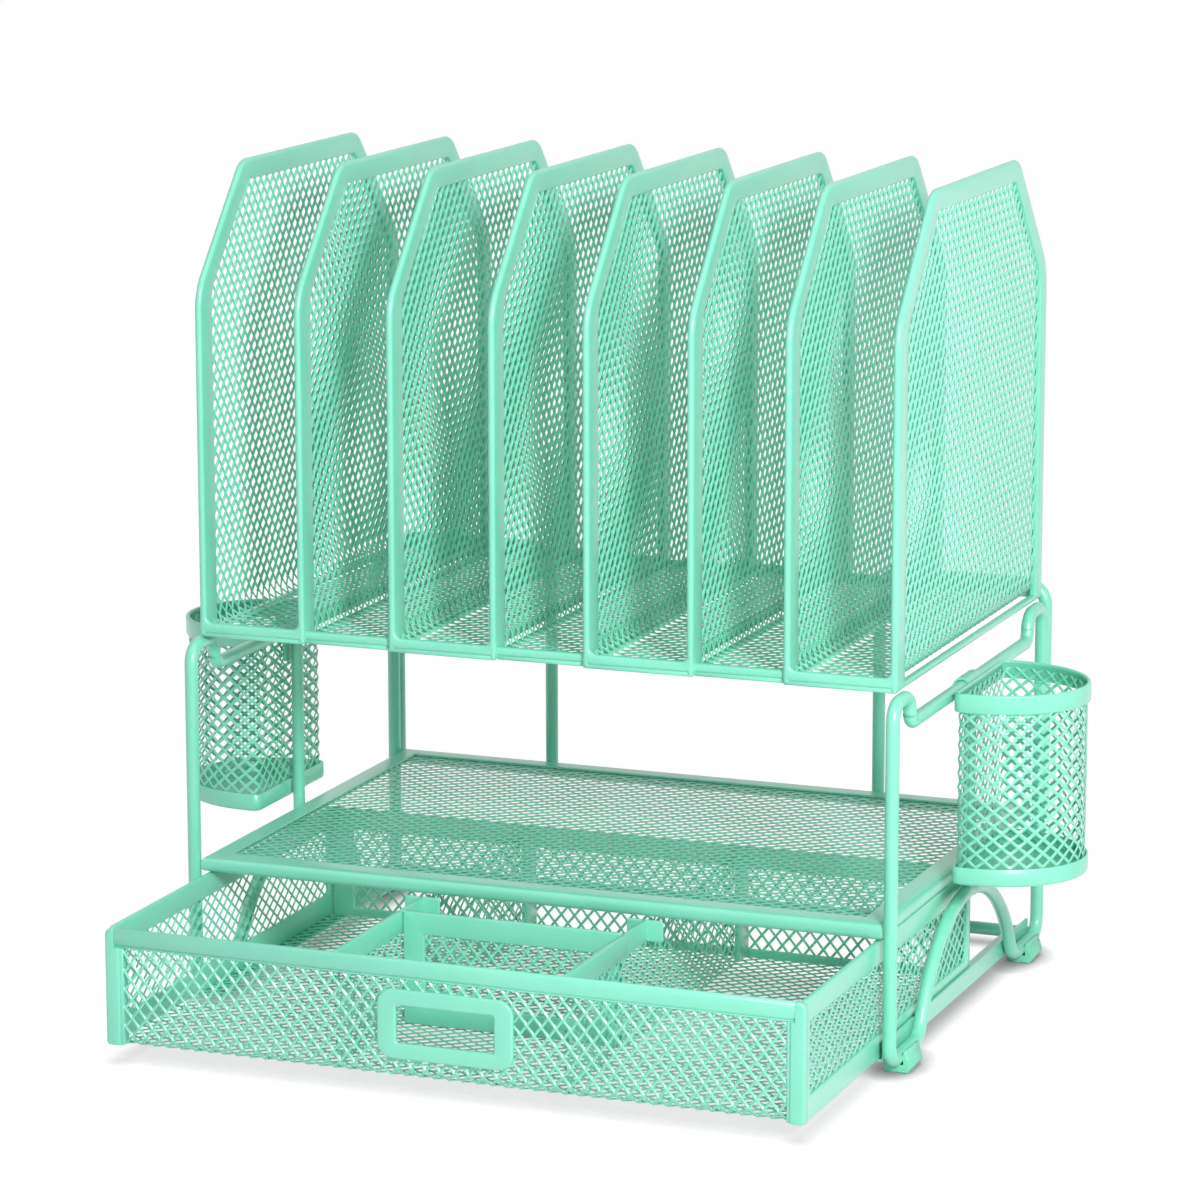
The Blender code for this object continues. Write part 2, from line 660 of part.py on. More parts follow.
# Cups: a band round the top, a mesh wall inside it, a pan under it and a hook over the rail
for sign, word, cup_y in ((-1, "left", left_cup_y), (1, "right", right_cup_y)):
    cup = group(word + "_cup", (sign * half_spread, cup_y, rail_h), organizer)
    leg_in = wire_r + seat_gap
    leg_out = leg_in + sheet_t
    face = leg_out + seat_gap               # flat side of the cup's bands
    cup_low = cup_top_over_rail - cup_height
    band_outline = cup_outline(0, sign)
    band_inside = cup_outline(sheet_t, sign)
    wall_outline = cup_outline(sheet_t + seat_gap, sign)
    wall_inside = cup_outline(sheet_t + seat_gap + mesh_t, sign)
    base = (sign * face, 0, cup_low)
    ring(word + "_cup_band", band_outline, band_inside, "z", cup_height - cup_band_h, cup_height,
         place=base, parent=cup)
    ring(word + "_cup_wall", wall_outline, wall_inside, "z", sheet_t + seat_gap, cup_height - sheet_t,
         place=base, parent=cup)

    # Pan: a floor with a turned-up edge round the foot of the wall
    count = len(band_outline)
    levels = [(0, band_outline), (cup_pan_h, band_outline), (cup_pan_h, band_inside), (sheet_t, band_inside)]
    points = [(x, y, z) for z, outline in levels for x, y in outline]
    faces = [list(range(count)), [3 * count + k for k in range(count)]]
    for level in range(3):
        for k in range(count):
            step = (k + 1) % count
            faces.append((level * count + k, level * count + step,
                          (level + 1) * count + step, (level + 1) * count + k))
    pan = bpy.data.meshes.new(word + "_cup_pan")
    pan.from_pydata(points, [], faces)
    add(word + "_cup_pan", facing(pan), place=base, parent=cup)

    # Hook: down the outside of the rail against the cup, over it, and down the inside
    crown = wire_r + seat_gap
    hook = [(leg_in, crown - hook_leg), (leg_out, crown - hook_leg), (leg_out, crown + sheet_t),
            (-leg_out, crown + sheet_t), (-leg_out, crown - hook_lip), (-leg_in, crown - hook_lip),
            (-leg_in, crown), (leg_in, crown)]
    hook = [(sign * x, z) for x, z in hook]
    prism(word + "_cup_hook", hook, "y", -hook_w / 2, hook_w / 2, parent=cup)
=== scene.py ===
import math

import bmesh
import bpy
import numpy as np
from mathutils import Matrix, Vector


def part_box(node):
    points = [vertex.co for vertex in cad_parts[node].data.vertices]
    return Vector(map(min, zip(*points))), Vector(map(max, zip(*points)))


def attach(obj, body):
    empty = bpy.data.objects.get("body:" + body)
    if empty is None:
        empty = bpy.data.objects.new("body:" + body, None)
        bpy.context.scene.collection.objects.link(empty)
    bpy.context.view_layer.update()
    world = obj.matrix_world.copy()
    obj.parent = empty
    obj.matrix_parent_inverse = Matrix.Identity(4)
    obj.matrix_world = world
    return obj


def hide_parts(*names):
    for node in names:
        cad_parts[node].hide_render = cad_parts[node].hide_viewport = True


# Desk organizer in mint powder coat: bent wire frames, diamond mesh panels with folded hems, a drawer and two cups.
# Lengths in the dictionaries are millimetres. Places come from the boxes of the CAD nodes, in metres.

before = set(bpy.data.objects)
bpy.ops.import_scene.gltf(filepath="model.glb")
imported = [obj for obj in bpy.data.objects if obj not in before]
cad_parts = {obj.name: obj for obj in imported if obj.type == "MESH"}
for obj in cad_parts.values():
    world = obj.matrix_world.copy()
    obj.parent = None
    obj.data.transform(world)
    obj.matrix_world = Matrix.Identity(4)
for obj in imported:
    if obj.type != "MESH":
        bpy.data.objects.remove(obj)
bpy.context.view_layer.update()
mm = 0.001
quarter = math.pi / 2
sides = (("left", -1), ("right", 1))
print("frame loaded:", len(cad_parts), "nodes")


# Outlines

def arc(centre, radius, start, end, steps):
    return [(centre[0] + radius * math.cos(start + (end - start) * k / steps),
             centre[1] + radius * math.sin(start + (end - start) * k / steps)) for k in range(steps + 1)]


def rounded(corners, radii, steps=6, closed=True):
    # a flat polyline with an arc in place of each corner
    count = len(corners)
    points = []
    for index, corner in enumerate(corners):
        here = Vector(corner)
        radius = radii[index]
        if radius == 0 or (not closed and index in (0, count - 1)):
            points.append((here.x, here.y))
            continue
        back = (Vector(corners[index - 1]) - here).normalized()
        ahead = (Vector(corners[(index + 1) % count]) - here).normalized()
        half = back.angle(ahead) / 2
        middle = here + (back + ahead).normalized() * (radius / math.sin(half))
        first = here + back * (radius / math.tan(half)) - middle
        last = here + ahead * (radius / math.tan(half)) - middle
        sweep = first.angle_signed(last)
        for k in range(steps + 1):
            angle = -sweep * k / steps
            points.append((middle.x + first.x * math.cos(angle) - first.y * math.sin(angle),
                           middle.y + first.x * math.sin(angle) + first.y * math.cos(angle)))
    return points


def boxCorners(low, high):
    return [(low[0], low[1]), (high[0], low[1]), (high[0], high[1]), (low[0], high[1])]


def roundBox(low, high, radius, steps=6):
    return rounded(boxCorners(low, high), [radius] * 4, steps)


# Where a flat drawing goes: (across, up, through) to X, Y, Z
def onFace(axis, base):
    x, y, z = base
    if axis == "x":
        return lambda u, v, w: (x + w, y + u, z + v)
    if axis == "y":
        return lambda u, v, w: (x + u, y + w, z + v)
    return lambda u, v, w: (x + u, y + v, z + w)


class Shape:
    # points and faces of one piece, gathered from several parts
    def __init__(self):
        self.points = []
        self.faces = []

    def take(self, points, faces):
        start = len(self.points)
        self.points += [tuple(p) for p in points]
        self.faces += [[start + k for k in face] for face in faces]

    def loft(self, levels, closed=False):
        # rings with equal counts, joined in order; open lofts get end caps
        count = len(levels[0])
        points = [p for level in levels for p in level]
        rows = len(levels)
        faces = []
        for row in range(rows if closed else rows - 1):
            near, far = row * count, (row + 1) % rows * count
            for k in range(count):
                step = (k + 1) % count
                faces.append((near + k, near + step, far + step, far + k))
        if not closed:
            faces.append(list(range(count))[::-1])
            faces.append([(rows - 1) * count + k for k in range(count)])
        self.take(points, faces)

    def bar(self, outline, place, start, end, ease=0.0):
        # an outline pulled from start to end, with its ends eased off
        centre = np.array(outline).mean(axis=0)
        levels = []
        steps = [(start, 1), (start + ease, 0), (end - ease, 0), (end, 1)] if ease else [(start, 0), (end, 0)]
        for along, eased in steps:
            ring = []
            for u, v in outline:
                du, dv = u - centre[0], v - centre[1]
                pull = eased * ease * 0.7
                ring.append(place(u - math.copysign(min(pull, abs(du)), du),
                                  v - math.copysign(min(pull, abs(dv)), dv), along))
            levels.append(ring)
        self.loft(levels)

    def band(self, levels, place):
        # a hem or ring: levels are (outline, depth) round its section
        self.loft([[place(u, v, depth) for u, v in outline] for outline, depth in levels], closed=True)

    def tube(self, path, radius, ringCount=20, closed=False):
        path = [Vector(p) for p in path]
        count = len(path)
        levels = []
        side = None
        for k, here in enumerate(path):
            before = path[k - 1] if closed or k > 0 else here
            after = path[(k + 1) % count] if closed or k < count - 1 else here
            ahead = ((after - here).normalized() + (here - before).normalized()).normalized()
            if side is None:
                side = ahead.orthogonal().normalized()
            side = (side - ahead * side.dot(ahead)).normalized()
            across = ahead.cross(side)
            turn = (after - here).angle(here - before) if (after - here).length and (here - before).length else 0
            stretch = 1 / max(math.cos(turn / 2), 0.5)
            bend = (after - here).normalized() - (here - before).normalized()
            bend = bend.normalized() if bend.length > 1e-6 else None
            ring = []
            for j in range(ringCount):
                angle = 2 * math.pi * j / ringCount
                off = (side * math.cos(angle) + across * math.sin(angle)) * radius
                if bend is not None:
                    off += bend * off.dot(bend) * (stretch - 1)
                ring.append(here + off)
            levels.append(ring)
        self.loft(levels, closed)

    def net(self, region, values, place, hole=None, origin=None):
        # expanded mesh over a convex region: each diamond has a ridge round it and a hole inside,
        # whose upper end stands forward so that the strands lean
        wide, tall = values["cell"][0] * mm, values["cell"][1] * mm
        keep, half, lean = values["open"], values["thick"] * mm / 2, values["lean"] * mm
        region = [Vector((u, v, 0)) for u, v in region]
        low = [min(p[k] for p in region) for k in (0, 1)]
        high = [max(p[k] for p in region) for k in (0, 1)]
        if origin is None:
            origin = [(low[k] + high[k]) / 2 for k in (0, 1)]
        first = [math.floor((low[k] - origin[k]) / (wide, tall)[k]) * 2 - 2 for k in (0, 1)]
        last = [math.ceil((high[k] - origin[k]) / (wide, tall)[k]) * 2 + 2 for k in (0, 1)]
        work = bmesh.new()
        knots = {}

        def knot(i, j, depth):
            # ridge points sit on a grid of half cells
            if (i, j, depth) not in knots:
                knots[i, j, depth] = work.verts.new(
                    (origin[0] + i * wide / 2, origin[1] + j * tall / 2, depth * half))
            return knots[i, j, depth]

        for j in range(first[1], last[1] + 1):
            for i in range(first[0], last[0] + 1):
                if (i + j) % 2:
                    continue
                centre = (origin[0] + i * wide / 2, origin[1] + j * tall / 2)
                if not (low[0] - wide < centre[0] < high[0] + wide and low[1] - tall < centre[1] < high[1] + tall):
                    continue
                steps = ((1, 0), (0, 1), (-1, 0), (0, -1))
                inner = [work.verts.new((centre[0] + a * wide / 2 * keep, centre[1] + b * tall / 2 * keep, b * lean))
                         for a, b in steps]
                for depth in (1, -1):
                    outer = [knot(i + a, j + b, depth) for a, b in steps]
                    for k in range(4):
                        step = (k + 1) % 4
                        face = (outer[k], outer[step], inner[step], inner[k])
                        work.faces.new(face if depth > 0 else face[::-1])
        middle = sum(region, Vector()) / len(region)
        for k, corner in enumerate(region):
            edge = region[(k + 1) % len(region)] - corner
            normal = Vector((edge.y, -edge.x, 0)).normalized()
            if normal.dot(corner - middle) < 0:
                normal = -normal
            bmesh.ops.bisect_plane(work, geom=work.verts[:] + work.edges[:] + work.faces[:], dist=1e-7,
                                   plane_co=corner, plane_no=normal, clear_outer=True)
        if hole:
            for point, normal in ((hole[0], (1, 0, 0)), (hole[0], (0, 1, 0)), (hole[1], (1, 0, 0)), (hole[1], (0, 1, 0))):
                bmesh.ops.bisect_plane(work, geom=work.verts[:] + work.edges[:] + work.faces[:], dist=1e-7,
                                       plane_co=(point[0], point[1], 0), plane_no=normal)
            inside = [f for f in work.faces
                      if hole[0][0] < f.calc_center_median().x < hole[1][0]
                      and hole[0][1] < f.calc_center_median().y < hole[1][1]]
            bmesh.ops.delete(work, geom=inside, context="FACES")
        work.verts.index_update()
        self.take([place(*v.co) for v in work.verts], [[v.index for v in f.verts] for f in work.faces])
        work.free()


def finishPiece(name, shape, body, coat, *nodes):
    mesh = bpy.data.meshes.new(name)
    mesh.from_pydata(shape.points, [], shape.faces)
    work = bmesh.new()
    work.from_mesh(mesh)
    bmesh.ops.recalc_face_normals(work, faces=work.faces)
    work.to_mesh(mesh)
    work.free()
    mesh.shade_smooth()
    mesh.set_sharp_from_angle(angle=math.radians(50))
    mesh.materials.append(coat)
    piece = bpy.data.objects.new(name, mesh)
    bpy.context.scene.collection.objects.link(piece)
    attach(piece, body)
    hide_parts(*nodes)
    return piece


# Materials

class Value:
    # a number socket; sums and products of it add Math nodes
    def __init__(self, graph, socket):
        self.graph = graph
        self.socket = socket

    def maths(self, operation, first, second):
        return self.graph.node("ShaderNodeMath", {"operation": operation}, {0: first, 1: second})

    def __add__(self, other):
        return self.maths("ADD", self, other)

    def __radd__(self, other):
        return self.maths("ADD", other, self)

    def __sub__(self, other):
        return self.maths("SUBTRACT", self, other)

    def __rsub__(self, other):
        return self.maths("SUBTRACT", other, self)

    def __mul__(self, other):
        return self.maths("MULTIPLY", self, other)

    def __rmul__(self, other):
        return self.maths("MULTIPLY", other, self)


class Graph:
    # the node tree of one material or of the world
    def __init__(self, owner):
        owner.use_nodes = True
        self.tree = owner.node_tree
        self.tree.nodes.clear()

    def node(self, kind, settings=None, sockets=None, out=0):
        made = self.tree.nodes.new(kind)
        for key, value in (settings or {}).items():
            if key == "stops":
                ramp = made.color_ramp.elements
                while len(ramp) < len(value):
                    ramp.new(0.5)
                for stop, (place, colour) in zip(ramp, value):
                    stop.position = place
                    stop.color = (*colour, 1)
            else:
                setattr(made, key, value)
        for key, value in (sockets or {}).items():
            if isinstance(value, Value):
                self.tree.links.new(value.socket, made.inputs[key])
            else:
                made.inputs[key].default_value = value
        return Value(self, made.outputs[out]) if len(made.outputs) else made


powderValues = {
    "colour": (0.225, 0.735, 0.550),    # lit face
    "deep": (0.200, 0.700, 0.520),      # where the coat lies thicker
    "roughness": 0.36,
    "roughSwing": 0.08,
    "patch": 22,                        # broad drift of tone, patches per metre
    "peel": 850,                        # orange peel, bumps per metre
    "peelDepth": 0.05,
    "coat": 1.0,
    "coatRough": 0.33,
}


def powderCoat(name, values, darker=1.0):
    material = bpy.data.materials.new(name)
    graph = Graph(material)
    place = graph.node("ShaderNodeTexCoord", out=3)
    drift = graph.node("ShaderNodeTexNoise", None, {"Vector": place, "Scale": values["patch"], "Detail": 3.0})
    peel = graph.node("ShaderNodeTexNoise", None, {"Vector": place, "Scale": values["peel"], "Detail": 2.0})
    pores = graph.node("ShaderNodeTexNoise", None, {"Vector": place, "Scale": values["peel"] * 3, "Detail": 1.0})
    lit = [c * darker for c in values["colour"]]
    deep = [c * darker for c in values["deep"]]
    tone = graph.node("ShaderNodeValToRGB", {"stops": ((0.36, deep), (0.64, lit))}, {"Fac": drift})
    colour = graph.node("ShaderNodeMix", {"data_type": "RGBA", "blend_type": "MULTIPLY"},
                        {0: 0.10, 6: tone, 7: graph.node("ShaderNodeValToRGB", {
                            "stops": ((0.40, (0.72, 0.80, 0.78)), (0.60, (1.0, 1.0, 1.0)))}, {"Fac": pores})}, out=2)
    height = peel * 0.8 + pores * 0.2
    bump = graph.node("ShaderNodeBump", None, {"Strength": values["peelDepth"], "Distance": 0.0004, "Height": height})
    shader = graph.node("ShaderNodeBsdfPrincipled", None, {
        "Base Color": colour,
        "Roughness": drift * values["roughSwing"] + (values["roughness"] - values["roughSwing"] / 2),
        "Metallic": 0.0,
        "Coat Weight": values["coat"],
        "Coat Roughness": values["coatRough"],
        "Normal": bump,
    })
    graph.node("ShaderNodeOutputMaterial", None, {"Surface": shader})
    return material


plasticValues = {
    "colour": (0.235, 0.720, 0.520),
    "deep": (0.205, 0.675, 0.480),
    "roughness": 0.42,
    "roughSwing": 0.12,
    "patch": 60,
    "peel": 2400,
    "peelDepth": 0.10,
    "coat": 0.0,
    "coatRough": 0.4,
}

framePaint = powderCoat("mint_coat_on_wire", powderValues)
sheetPaint = powderCoat("mint_coat_on_sheet", powderValues)
meshPaint = powderCoat("mint_coat_on_mesh", powderValues, 0.97)
shoePlastic = powderCoat("mint_moulded_plastic", plasticValues)
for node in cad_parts.values():
    node.data.materials.clear()
    node.data.materials.append(framePaint)
print("materials made")


# Wire frames at the two sides

wireValues = {"seat": 0.3, "footBend": 9, "humpStep": 23.5, "humpBend": 8, "railBend": 4.5,
              "archRadius": 75, "archFootBend": 12, "braceBend": 10, "weld": 1.0}
seat = wireValues["seat"] * mm


def frameLoop(low, high, railZ, archZ):
    v = {key: value * mm for key, value in wireValues.items()}
    r = (high.x - low.x) / 2
    x = (low.x + high.x) / 2
    front, rear, floorZ, topZ = low.y + r, high.y - r, low.z + r, high.z - r
    depth = rear - front
    centre = (depth / 2, archZ - v["archRadius"])
    blendZ = floorZ + v["archFootBend"]
    reach = v["archRadius"] + v["archFootBend"]
    blendY = depth / 2 - math.sqrt(reach ** 2 - (blendZ - centre[1]) ** 2)
    meet = math.atan2(blendZ - centre[1], depth / 2 - blendY)
    half = arc(centre, v["archRadius"], quarter, math.pi - meet, 16)
    half += arc((blendY, blendZ), v["archFootBend"], -meet, -quarter, 8)[1:]
    half += arc((v["footBend"], floorZ + v["footBend"]), v["footBend"], -quarter, -math.pi, 9)
    half += arc((v["humpBend"], topZ - v["humpBend"]), v["humpBend"], math.pi, quarter, 9)
    half += arc((v["humpStep"] - v["humpBend"], topZ - v["humpBend"]), v["humpBend"], quarter, 0, 9)
    half += arc((v["humpStep"] + v["railBend"], railZ + v["railBend"]), v["railBend"], math.pi, 3 * quarter, 7)
    half.append((depth / 2, railZ))
    whole = half + [(depth - y, z) for y, z in half[-2:0:-1]]
    return [(x, front + y, z) for y, z in whole], r


for word, sign in sides:
    low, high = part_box(word + "_side_frame")
    postLow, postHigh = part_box(word + "_mid_post")
    wireR = (high.x - low.x) / 2
    railZ = postHigh.z + seat + wireR
    loop, wireR = frameLoop(low, high, railZ, postLow.z - seat - wireR)
    shape = Shape()
    shape.tube(loop, wireR, 24, closed=True)
    finishPiece(word + "_side_frame_wire", shape, "stand", framePaint, word + "_side_frame")

    # upright with a weld bead at each end
    postR = (postHigh.x - postLow.x) / 2
    x, y = (postLow.x + postHigh.x) / 2, (postLow.y + postHigh.y) / 2
    bead = wireValues["weld"] * mm
    shape = Shape()
    shape.tube([(x, y, postLow.z - seat), (x, y, postHigh.z + seat)], postR, 24)
    for end, way in ((postLow.z, 1), (postHigh.z, -1)):
        levels = []
        for rise, swell in ((-0.2, 0.9), (0.5, 0.75), (1.1, 0.35), (1.9, 0.02)):
            ring = [(x + (postR + swell * bead) * math.cos(a), y + (postR + swell * bead) * math.sin(a),
                     end + way * rise * bead) for a in np.linspace(0, 2 * math.pi, 24, endpoint=False)]
            levels.append(ring)
        shape.loft(levels)
    finishPiece(word + "_mid_post_rod", shape, "stand", framePaint, word + "_mid_post")

    # brace behind the sorter
    low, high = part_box(word + "_rear_brace")
    r = (high.y - low.y) / 2
    bend = wireValues["braceBend"] * mm
    route = rounded([(low.x + r, low.z), (low.x + r, high.z - r), (high.x - r, high.z - r), (high.x - r, low.z)],
                    [0, bend, bend, 0], 9, closed=False)
    shape = Shape()
    shape.tube([(u, (low.y + high.y) / 2, v) for u, v in route], r, 24)
    finishPiece(word + "_rear_brace_wire", shape, "stand", framePaint, word + "_rear_brace")

low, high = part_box("rear_bar")
shape = Shape()
shape.tube([(x, (low.y + high.y) / 2, (low.z + high.z) / 2) for x in (low.x, high.x)], (high.y - low.y) / 2, 24)
finishPiece("rear_bar_rod", shape, "stand", framePaint, "rear_bar")
print("wires done")


# Plastic shoes clipped on the floor runs

shoeValues = {"chamfer": 1.3, "chamferRise": 2.3, "cheekTop": 1.0, "ease": 0.5, "groove": 0.45}

for word, sign in sides:
    for end in ("front", "rear"):
        low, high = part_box(f"{word}_{end}_foot")
        wireLow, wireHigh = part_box(word + "_side_frame")
        x = (wireLow.x + wireHigh.x) / 2
        r = (wireHigh.x - wireLow.x) / 2
        runZ = wireLow.z + r
        inner, outer = (high.x - x, x - low.x) if sign < 0 else (x - low.x, high.x - x)
        chamfer, rise, top, ease, groove = (shoeValues[key] * mm for key in (
            "chamfer", "chamferRise", "cheekTop", "ease", "groove"))
        # the outer cheek leans out below, with a groove under its upper edge
        lean = (outer - r - seat - top) / (high.z - rise)
        grooveZ = high.z - 2.2 * mm
        grooveX = r + seat + top + lean * (high.z - grooveZ)
        section = [(-inner, 0), (outer - chamfer, 0), (outer, rise), (grooveX + lean * groove, grooveZ - groove),
                   (grooveX - groove, grooveZ), (grooveX - lean * groove, grooveZ + groove),
                   (r + seat + top, high.z), (r + seat, high.z),
                   (r + seat, wireLow.z - seat), (-r - seat, wireLow.z - seat), (-r - seat, runZ - seat),
                   (-inner, runZ - seat)]
        section = rounded(section, [ease, ease, ease, 0, 0, 0, 0.3 * mm, 0.2 * mm, 0, 0, 0.3 * mm, ease], 3)
        section = [(x + sign * u, v) for u, v in section]
        shape = Shape()
        shape.bar(section, onFace("y", (0, 0, 0)), low.y, high.y, ease)
        finishPiece(f"{word}_{end}_shoe", shape, "stand", shoePlastic, f"{word}_{end}_foot")
print("shoes done")


# Shelf: a folded border round a mesh sheet

shelfValues = {"borderBend": 3.4, "lowBend": 2.6, "border": 11.0, "sheet": 1.0, "hemEase": 0.5}
shelfMesh = {"cell": (8.15, 6.5), "open": 0.73, "thick": 0.8, "lean": 0.1}

boxes = [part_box(f"shelf_{edge}_edge") for edge in ("front", "rear", "left", "right")]
low = [min(b[0][k] for b in boxes) for k in range(3)]
high = [max(b[1][k] for b in boxes) for k in range(3)]


def shelfRim(low, high):
    bend, lowBend, border, sheet, ease = (shelfValues[key] * mm for key in (
        "borderBend", "lowBend", "border", "sheet", "hemEase"))
    top, bottom = high[2], low[2]
    section = arc((lowBend, bottom + lowBend), lowBend, 3 * quarter, math.pi, 6)
    section += arc((bend, top - bend), bend, math.pi, quarter, 8)
    section += arc((border - ease, top - ease), ease, quarter, -quarter, 5)
    section += arc((bend, top - bend), bend - sheet, quarter, math.pi, 6)
    section += arc((lowBend, bottom + lowBend), lowBend - sheet, math.pi, 3 * quarter, 5)
    levels = []
    for inset, z in section:
        levels.append([(u, v, z) for u, v in boxCorners((low[0] + inset, low[1] + inset),
                                                        (high[0] - inset, high[1] - inset))])
    return levels


shape = Shape()
shape.loft(shelfRim(low, high), closed=True)
finishPiece("shelf_rim", shape, "stand", sheetPaint, *(f"shelf_{edge}_edge" for edge in ("front", "rear", "left", "right")))

meshLow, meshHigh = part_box("shelf_mesh")
shape = Shape()
tuck = 4 * mm
shape.net(boxCorners((low[0] + tuck, low[1] + tuck), (high[0] - tuck, high[1] - tuck)), shelfMesh,
          onFace("z", (0, 0, (meshLow.z + meshHigh.z) / 2)))
finishPiece("shelf_net", shape, "stand", meshPaint, "shelf_mesh")
print("shelf done")


# Sorter dividers: mesh in a folded hem with a round outer edge

dividerValues = {"front": 12.0, "top": 9.5, "rear": 10.0, "foot": 2.8, "slopeRun": 47.0, "slopeRise": 53.1,
                 "lowBend": 24.0, "topBend": 13.0, "baseBend": 2.0, "tuck": 5.0, "innerEase": 0.5}
dividerMesh = {"cell": (6.42, 8.28), "open": 0.67, "thick": 1.1, "lean": 0.45}
sheetValues = {"bend": 7.5, "level": 2.6}      # the tray's one mesh sheet: bend into its floor, and floor level


def dividerOutline(width, height, inset, share=0.0):
    # share 0 keeps an even inset, share 1 adds the hem widths of each side
    v = {key: value * mm for key, value in dividerValues.items()}
    front, rear = inset + share * v["front"], width - inset - share * v["rear"]
    top, foot = height - inset - share * v["top"], inset + share * v["foot"]
    slope = math.atan2(v["slopeRise"], v["slopeRun"])
    slant = inset + share * v["top"]
    # the sloping lines move in by slant, square to themselves
    start = Vector((0, height - v["slopeRise"]))
    along = Vector((math.cos(slope), math.sin(slope)))
    normal = Vector((math.sin(slope), -math.cos(slope)))
    line = start + normal * slant
    lowFront = (front, line.y + (front - line.x) * math.tan(slope))
    topFront = (line.x + (top - line.y) / math.tan(slope), top)
    lowRear = (rear, line.y + (width - rear - line.x) * math.tan(slope))
    topRear = (width - topFront[0], top)
    corners = [(front, foot), (rear, foot), lowRear, topRear, topFront, lowFront]
    base = v["baseBend"] if share == 0 else 0.8 * mm
    shrink = inset + share * 8 * mm
    radii = [base, base, max(v["lowBend"] - shrink, 6 * mm), max(v["topBend"] - shrink, 3 * mm),
             max(v["topBend"] - shrink, 3 * mm), max(v["lowBend"] - shrink, 6 * mm)]
    return rounded(corners, radii, 7), corners


for number in range(1, 9):
    low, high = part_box(f"divider_{number}")
    width, height, thick = high.y - low.y, high.z - low.z, high.x - low.x
    half = thick / 2
    place = onFace("x", ((low.x + high.x) / 2, low.y, low.z))
    ease = dividerValues["innerEase"] * mm
    levels = []
    for k in range(9):                  # round outer edge
        angle = quarter - math.pi * k / 8
        levels.append((dividerOutline(width, height, half * (1 - math.cos(angle)))[0], half * math.sin(angle)))
    for inset, depth in ((-ease, -half), (-0.3 * ease, -half + 0.3 * ease), (0, -half + ease),
                         (0, half - ease), (-0.3 * ease, half - 0.3 * ease), (-ease, half)):
        levels.append((dividerOutline(width, height, inset, 1.0)[0], depth))
    shape = Shape()
    shape.band(levels, place)
    region = dividerOutline(width, height, dividerValues["tuck"] * mm)[1]
    bendTop = (sheetValues["level"] + sheetValues["bend"]) * mm
    region = [(u, bendTop if k < 2 else v) for k, (u, v) in enumerate(region)]
    floorLow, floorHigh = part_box(f"tray_floor_{(number + 1) // 2}")
    flat = abs((low.x + high.x) / 2 - (floorLow.x + floorHigh.x) / 2) - sheetValues["bend"] * mm
    alongSheet = flat + sheetValues["bend"] * mm * quarter
    shape.net(region, dividerMesh, place, origin=(width / 2, bendTop - alongSheet))
    finishPiece(f"divider_{number}_panel", shape, "stand", sheetPaint, f"divider_{number}")
print("dividers done")


# Sorter floors: rolled lips and a mesh floor

floorValues = {"lip": 3.4, "lipRise": 0.7, "band": 1.5, "setback": 0.45, "fillet": 3.2, "corner": 1.5,
               "turnBend": 2.0, "turnUp": 6.5}
floorMesh = {"cell": (8.28, 6.42), "open": 0.73, "thick": 0.8, "lean": 0.1}


def lipOutline(width, bottom, top, arm, inset):
    # seen from the front: a bar whose ends turn up the dividers, with a fillet in each corner
    v = {key: value * mm for key, value in floorValues.items()}
    half = width / 2 - inset
    inner = width / 2 - arm + inset
    armTop = top + v["fillet"] + 1.5 * mm
    corners = [(-half, bottom + inset), (half, bottom + inset), (half, armTop), (inner, armTop),
               (inner, top - inset), (-inner, top - inset), (-inner, armTop), (-half, armTop)]
    corner, fillet = max(v["corner"] - inset, 0.1 * mm), v["fillet"] + inset
    return rounded(corners, [corner, corner, 0, 0, fillet, fillet, 0, 0], 6)


